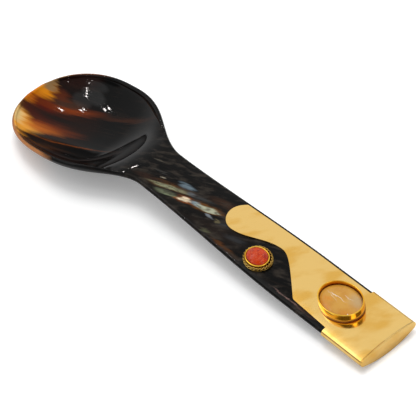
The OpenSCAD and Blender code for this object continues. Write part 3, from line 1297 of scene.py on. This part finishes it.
@dataclass(frozen=True)
class Glint:
    """One small glint in the bowl, made by a tiny lamp that shines on the horn alone.

    Attributes:
        at: Its place in the spoon's own frame in millimetres.
        azimuth: Direction of its lamp round the spoon in degrees.
        elevation: Height of its lamp in degrees.
        distance: Distance of its lamp in metres.
        spread: Width of its lamp for each metre of distance.
        power: Power of its lamp in watts for the distance of one metre.
        tint: Its colour.
    """

    at: Triple
    azimuth: float
    elevation: float
    distance: float = 0.4
    spread: float = 0.014
    power: float = 0.20
    tint: Colour = (1.0, 0.93, 0.90)

    def lamp(self, laid: Laid) -> Softbox:
        """Work out the lamp that makes it.

        Args:
            laid: How the spoon lies on the table.

        Returns:
            The lamp, not yet hung.
        """
        aim = tuple(float(v) for v in laid.lay(np.array([self.at]))[0])
        return Softbox(self.azimuth, self.elevation, self.distance, self.spread * self.distance,
                       self.power * self.distance ** 2, self.tint, mirrored=True, only=("horn_body",), aim=aim)


@dataclass(frozen=True)
class PhotoCamera:
    """The camera at the photograph's place."""

    place: Triple = (-0.685459, 0.372053, 0.703115)
    turn: Triple = (47.0946, 11.4665, -129.2654)
    lens: float = 207.692
    sensor: float = 36.0
    near: float = 0.05
    far: float = 20.0

    def build(self) -> bpy.types.Object:
        """Set the camera up and make it the scene's.

        Returns:
            The camera.
        """
        data = bpy.data.cameras.new("camera")
        data.lens, data.sensor_width = self.lens, self.sensor
        data.clip_start, data.clip_end = self.near, self.far
        camera = bpy.data.objects.new("camera", data)
        camera.location = self.place
        camera.rotation_euler = Euler([math.radians(v) for v in self.turn], "XYZ")
        bpy.context.scene.collection.objects.link(camera)
        bpy.context.scene.camera = camera
        return camera


@dataclass(frozen=True)
class SkySpot:
    """A lighter or darker place in the surround, as polished surfaces mirror it.

    Attributes:
        azimuth: Its direction round the spoon in degrees.
        elevation: Its height in degrees.
        radius: Its radius in degrees.
        level: Its brightness.
        soft: Width of its soft edge to either side, as a share of its radius.
    """

    azimuth: float
    elevation: float
    radius: float
    level: float
    soft: float = 0.25

    def share(self, n: Nodes, way: Socket) -> Socket:
        """Return how far the surround takes on this place's brightness in a direction."""
        ends = [math.cos(math.radians(self.radius * side)) for side in (1 + self.soft, 1 - self.soft)]
        return n.rise(n.vector("DOT_PRODUCT", way, tuple(direction(self.azimuth, self.elevation))), *ends)


@dataclass(frozen=True)
class Studio:
    """A white table under soft lamps, with a white surround."""

    camera: PhotoCamera
    lamps: dict[str, Softbox]
    spots: tuple[SkySpot, ...]
    ambient: float = 0.64
    mirrored: float = 0.90
    table: Colour = (0.90, 0.90, 0.90)
    table_grain: float = 0.985
    mirrored_table: Colour = (0.72, 0.72, 0.72)
    table_glow: float = 0.17
    table_half: float = 3.0
    table_steps: int = 12

    def build(self) -> None:
        """Build the table, the surround, the lamps and the camera."""
        bpy.context.scene.view_settings.view_transform = "Standard"
        self.camera.build()
        self.build_table()
        for name, lamp in self.lamps.items():
            lamp.build(name)
        self.build_world()

    def build_world(self) -> None:
        """Make the surround: white to the camera, dimmer where it lights or is mirrored."""
        world = bpy.data.worlds.new("surround")
        world.use_nodes = True
        bpy.context.scene.world = world
        n = Nodes(world.node_tree)
        path = n.add("ShaderNodeLightPath")
        way = n.add("ShaderNodeTexCoord").outputs["Generated"]
        level: Any = self.mirrored
        for spot in self.spots:
            level = n.between(spot.share(n, way), level, spot.level)
        unseen = n.between(path.outputs["Is Glossy Ray"], self.ambient, level)
        strength = n.between(path.outputs["Is Camera Ray"], unseen, 1.0)
        background = n.add("ShaderNodeBackground", {"Color": (1.0, 1.0, 1.0), "Strength": strength})
        n.add("ShaderNodeOutputWorld", {"Surface": background.outputs[0]})

    def build_table(self) -> None:
        """Make the white table, which keeps the spoon's shadow."""
        s = Sketch("white_table")
        path = s.add("ShaderNodeLightPath")
        grain = s.rise(s.noise(s.metres(), 60.0, 2.0), 0.3, 0.7)
        white = s.blend(grain, self.table, tuple(c * self.table_grain for c in self.table))
        s.set(Base_Color=s.blend(path.outputs["Is Glossy Ray"], white, self.mirrored_table), Roughness=0.6,
              Specular_IOR_Level=0.2, Emission_Color=(1.0, 1.0, 1.0),
              Emission_Strength=s.number("MULTIPLY", path.outputs["Is Camera Ray"], self.table_glow))
        row = np.linspace(-self.table_half, self.table_half, self.table_steps + 1)
        points = np.array([(x, y, 0.0) for y in row for x in row])
        faces: Faces = []
        for i in range(self.table_steps):
            faces += strip(i * len(row), (i + 1) * len(row), len(row), closed=False)
        add_piece("table", (points, faces), s.material)


def report(pieces: Iterable[bpy.types.Object]) -> None:
    """Log the name and number of faces of each piece."""
    for piece in pieces:
        LOG.info("%s: %d faces", piece.name, len(piece.data.polygons))


GLINTS = (
    Glint((238.4, -15.1, -14.5), 104.5, 48.8),
    Glint((237.0, -14.5, -15.1), 41.9, 71.9),
    Glint((230.2, -20.1, -13.7), 57.9, 46.7),
    Glint((229.0, -19.4, -14.3), 40.1, 51.7),
    Glint((229.9, -21.8, -11.8), 50.8, 44.0),
    Glint((227.3, -17.1, -15.4), 25.5, 55.6),
    Glint((226.2, -16.2, -15.8), 20.2, 55.6),
    Glint((225.2, -15.3, -16.2), 15.1, 55.4),
    Glint((224.0, -14.3, -16.5), 10.0, 55.1),
    Glint((229.9, -2.3, -18.2), -30.8, 56.2, distance=0.25),
    Glint((228.4, -2.3, -18.3), -29.4, 54.7, distance=0.25),
    Glint((219.8, -7.7, -18.0), -11.5, 51.3),
    Glint((219.9, -9.1, -17.8), -8.3, 51.2),
    Glint((210.9, -15.0, -15.8), 6.6, 42.5),
    Glint((208.7, -15.2, -15.5), 10.2, 40.3),
)
SKY = (SkySpot(116, 42, 26, 0.12), SkySpot(208, 42, 20, 0.20), SkySpot(166, 42, 11, 2.2),
       SkySpot(50, 20, 11, 0.22), SkySpot(-38, 10, 10, 0.12), SkySpot(-50, 6, 11, 0.12),
       SkySpot(38, 45, 9, 2.4), SkySpot(17, 51, 8, 2.8), SkySpot(1.5, 56.5, 6.2, 2.5))

# Later patches lie over earlier ones
BOWL_PATCHES = patches((
    ((230, 8), (22, 13), (46, 20, 10), 20, 0.7, 0.7),
    ((234, -18), (11, 4.5), (38, 12, 5), 35, 0.6, 0.8),
    ((228.5, 11.6), (17, 2.3), (116, 48, 10), 20, 0.85, 0.9),
    ((231, 15.8), (13, 2.2), (178, 94, 22), 22, 1, 0.8),
    ((235.5, 19), (14, 6.0), (206, 136, 42), -34, 1, 0.45),
    ((238.5, 18.5), (11.5, 4.8), (214, 182, 118), -36, 1, 0.45),
    ((215, 16.5), (16, 2.2), (26, 16, 12), 24, 1, 0.6),
    ((213, 22.5), (13, 2.0), (52, 28, 16), 27, 0.8, 0.7),
    ((209, 13.4), (20, 0.6), (96, 48, 16), 24, 1, 0.9),
    ((231, 19.8), (8, 2.4), (220, 150, 50), 22, 1, 0.8),
    ((243, -0.5), (6.5, 8), (202, 124, 12), 0, 1, 0.45),
    ((243, 3), (3.5, 3), (176, 92, 10), 0, 1, 0.8),
    ((243.5, -7.5), (4.0, 3.4), (134, 104, 66), 0, 1, 0.45),
    ((236.5, 1.8), (5.8, 4.2), (76, 12, 0), 10, 0.95, 0.6),
    ((232, 6), (15, 3.2), (62, 20, 8), 20, 1, 0.45),
    ((222, 2), (15, 2.2), (24, 14, 11), 20, 1, 0.7),
    ((223, -5.0), (12, 1.9), (112, 46, 10), 25, 1, 0.9),
    ((196, -14.6), (14, 1.1), (56, 30, 18), 17, 0.8, 0.9),
    ((229, -6), (8, 2.0), (66, 44, 32), 25, 0.6, 0.7),
    ((235, -7), (5, 2.6), (96, 40, 14), 10, 0.6, 0.7),
)) + patches((
    ((236, 0), (18, 32), (150, 86, 40), 0, 1, 0.45),
    ((244, 4), (8, 24), (170, 140, 88), 0, 1, 0.45),
    ((214, 10), (22, 4), (96, 52, 28), 8, 0.8, 0.45),
    ((208, -12), (20, 3), (80, 44, 26), -6, 0.8, 0.45),
    ((213, 27), (20, 4), (170, 112, 66), -12, 1, 0.45),
), Side.UNDER)

HANDLE_PATCHES_WITH_PAINTED_REFLECTION = patches((
    ((128, 6), (22, 4.0), (34, 30, 26), 17, 0.6, 0.8),
    ((134, 4.4), (11, 1.5), (104, 66, 28), 17, 0.7, 0.7),
    ((135, 4.9), (9.5, 0.9), (140, 142, 112), 17, 1, 0.6),
    ((128.6, -0.2), (4.2, 1.2), (98, 114, 124), 12, 1, 0.5),
    ((131, 7.5), (6, 0.9), (116, 124, 98), 15, 0.9, 0.6),
    ((122.6, 5.2), (5.2, 1.6), (138, 70, 20), 17, 1, 0.45),
    ((122.8, 5.2), (3.8, 1.15), (240, 222, 190), 17, 1, 0.25),
    ((111.8, 2.5), (8, 1.9), (126, 80, 32), 16, 0.8, 0.5),
    ((117, 3.7), (2.8, 1.0), (126, 142, 148), 16, 1, 0.45),
    ((111.4, 2.4), (5.4, 1.3), (172, 176, 152), 16, 1, 0.35),
    ((107.6, 4.4), (1.6, 0.7), (112, 118, 124), 10, 1, 0.45),
    ((103.2, 4.4), (1.3, 0.8), (112, 104, 72), 0, 1, 0.45),
    ((119, 0.2), (7, 1.1), (66, 70, 72), 14, 0.6, 0.7),
    ((123.8, 1.3), (2.4, 0.8), (92, 98, 102), 14, 0.8, 0.45),
    ((102.5, 10.8), (3.8, 0.8), (98, 100, 76), 8, 1, 0.45),
    ((97, 7.5), (13, 3.6), (38, 29, 24), 10, 0.7, 0.8),
    ((91, 11.4), (6, 0.7), (92, 54, 22), 2, 0.7, 0.7),
    ((84.5, 12), (4, 0.9), (60, 42, 28), 0, 0.8, 0.7),
    ((108, -4.6), (7, 2.0), (58, 38, 26), 12, 0.8, 0.7),
    ((98, 3.6), (4, 1.4), (66, 70, 74), 12, 0.5, 0.7),
    ((88.5, 5.9), (5, 1.4), (54, 58, 62), 12, 0.5, 0.7),
    ((149, -2.6), (4, 0.3), (84, 80, 70), 14, 0.7, 0.45),
    ((141.4, 3.3), (1.3, 0.45), (150, 142, 124), 10, 1, 0.45),
    ((147.5, 7.4), (5, 1.2), (46, 31, 24), 17, 0.8, 0.8),
    ((145.5, 1.2), (6, 0.4), (60, 60, 58), 17, 0.6, 0.45),
    # A thin pinkish painted reflection along the handle's near edge, beside the tongue's shoulder
    ((47, 12.2), (9, 0.3), (130, 104, 98), 0, 0.7, 0.45),
    ((36, 12.2), (6, 0.7), (60, 42, 34), 0, 0.7, 0.45),
))

AMBER_PATCHES_WITH_PAINTED_GLINT = patches((
    ((-92.3, 6.9), (4.5, 2.2), (222, 146, 46), -10, 0.8, 0.8),
    ((-104.6, 4.6), (3.2, 2.2), (222, 148, 50), 0, 0.8, 0.8),
    ((-91.6, 3.0), (2.2, 1.0), (226, 146, 44), 10, 0.8, 0.7),
    ((-102.4, -4.2), (3.8, 3.0), (200, 176, 132), 0, 0.7, 0.8),
    ((-94.0, 0.0), (4.4, 0.13), (250, 240, 222), 3, 0.9, 0.6),
    ((-93.2, 1.2), (2.6, 0.1), (246, 230, 204), -14, 0.7, 0.6),
    ((-98.6, -2.6), (2.0, 0.12), (250, 240, 222), 8, 0.8, 0.6),
    # A tiny painted glint near the lower edge of the stone
    ((-104.4, 3.4), (0.28, 0.22), (255, 250, 240), 20, 1, 0.5),
))


def main() -> None:
    """Build the spoon, its finishes and the studio, in order."""
    logging.basicConfig(level=logging.INFO, format="%(message)s")
    horn = Horn()
    laid = Laid.of(horn)
    brown = linear(140, 78, 18)
    sheet = BrassFinish(BrassKind.SHEET, linear(242, 202, 122), linear(232, 182, 88), brown, 0.10, 0.5)
    bezel = BrassFinish(BrassKind.BEZEL, linear(252, 200, 74), linear(236, 172, 46), linear(140, 62, 10), 0.08, 2.0)
    wire = BrassFinish(BrassKind.WIRE, linear(196, 162, 86), linear(172, 134, 60), linear(40, 28, 12), 0.14, 0.6)
    amber = StoneFinish("amber_stone", linear(220, 164, 72), linear(212, 150, 58), linear(230, 192, 130), 0.16, 0.25,
                        AMBER_PATCHES_WITH_PAINTED_GLINT)
    red = StoneFinish("red_stone", linear(208, 60, 6), linear(168, 28, 2), linear(240, 138, 84), 0.50, 0.75)
    report([horn.build(laid, HornFinish(BOWL_PATCHES + HANDLE_PATCHES_WITH_PAINTED_REFLECTION))])
    report(BrassCap(horn, sheet).build(laid))
    report(LargeSetting(horn, bezel, amber).build(laid))
    report(SmallSetting(horn, bezel, wire, red).build(laid))
    lamps = {"key_lamp": Softbox(-74, 52, 2.0, 1.0, 9.0),
             "top_lamp": Softbox(150, 78, 1.6, 0.7, 3.0),
             "table_lamp": Softbox(-60, 80, 1.6, 0.6, 9.0, only=("table",))}
    lamps |= {f"glint_lamp_{number}": glint.lamp(laid) for number, glint in enumerate(GLINTS)}
    Studio(PhotoCamera(), lamps, SKY).build()


if __name__ == "__main__":
    main()
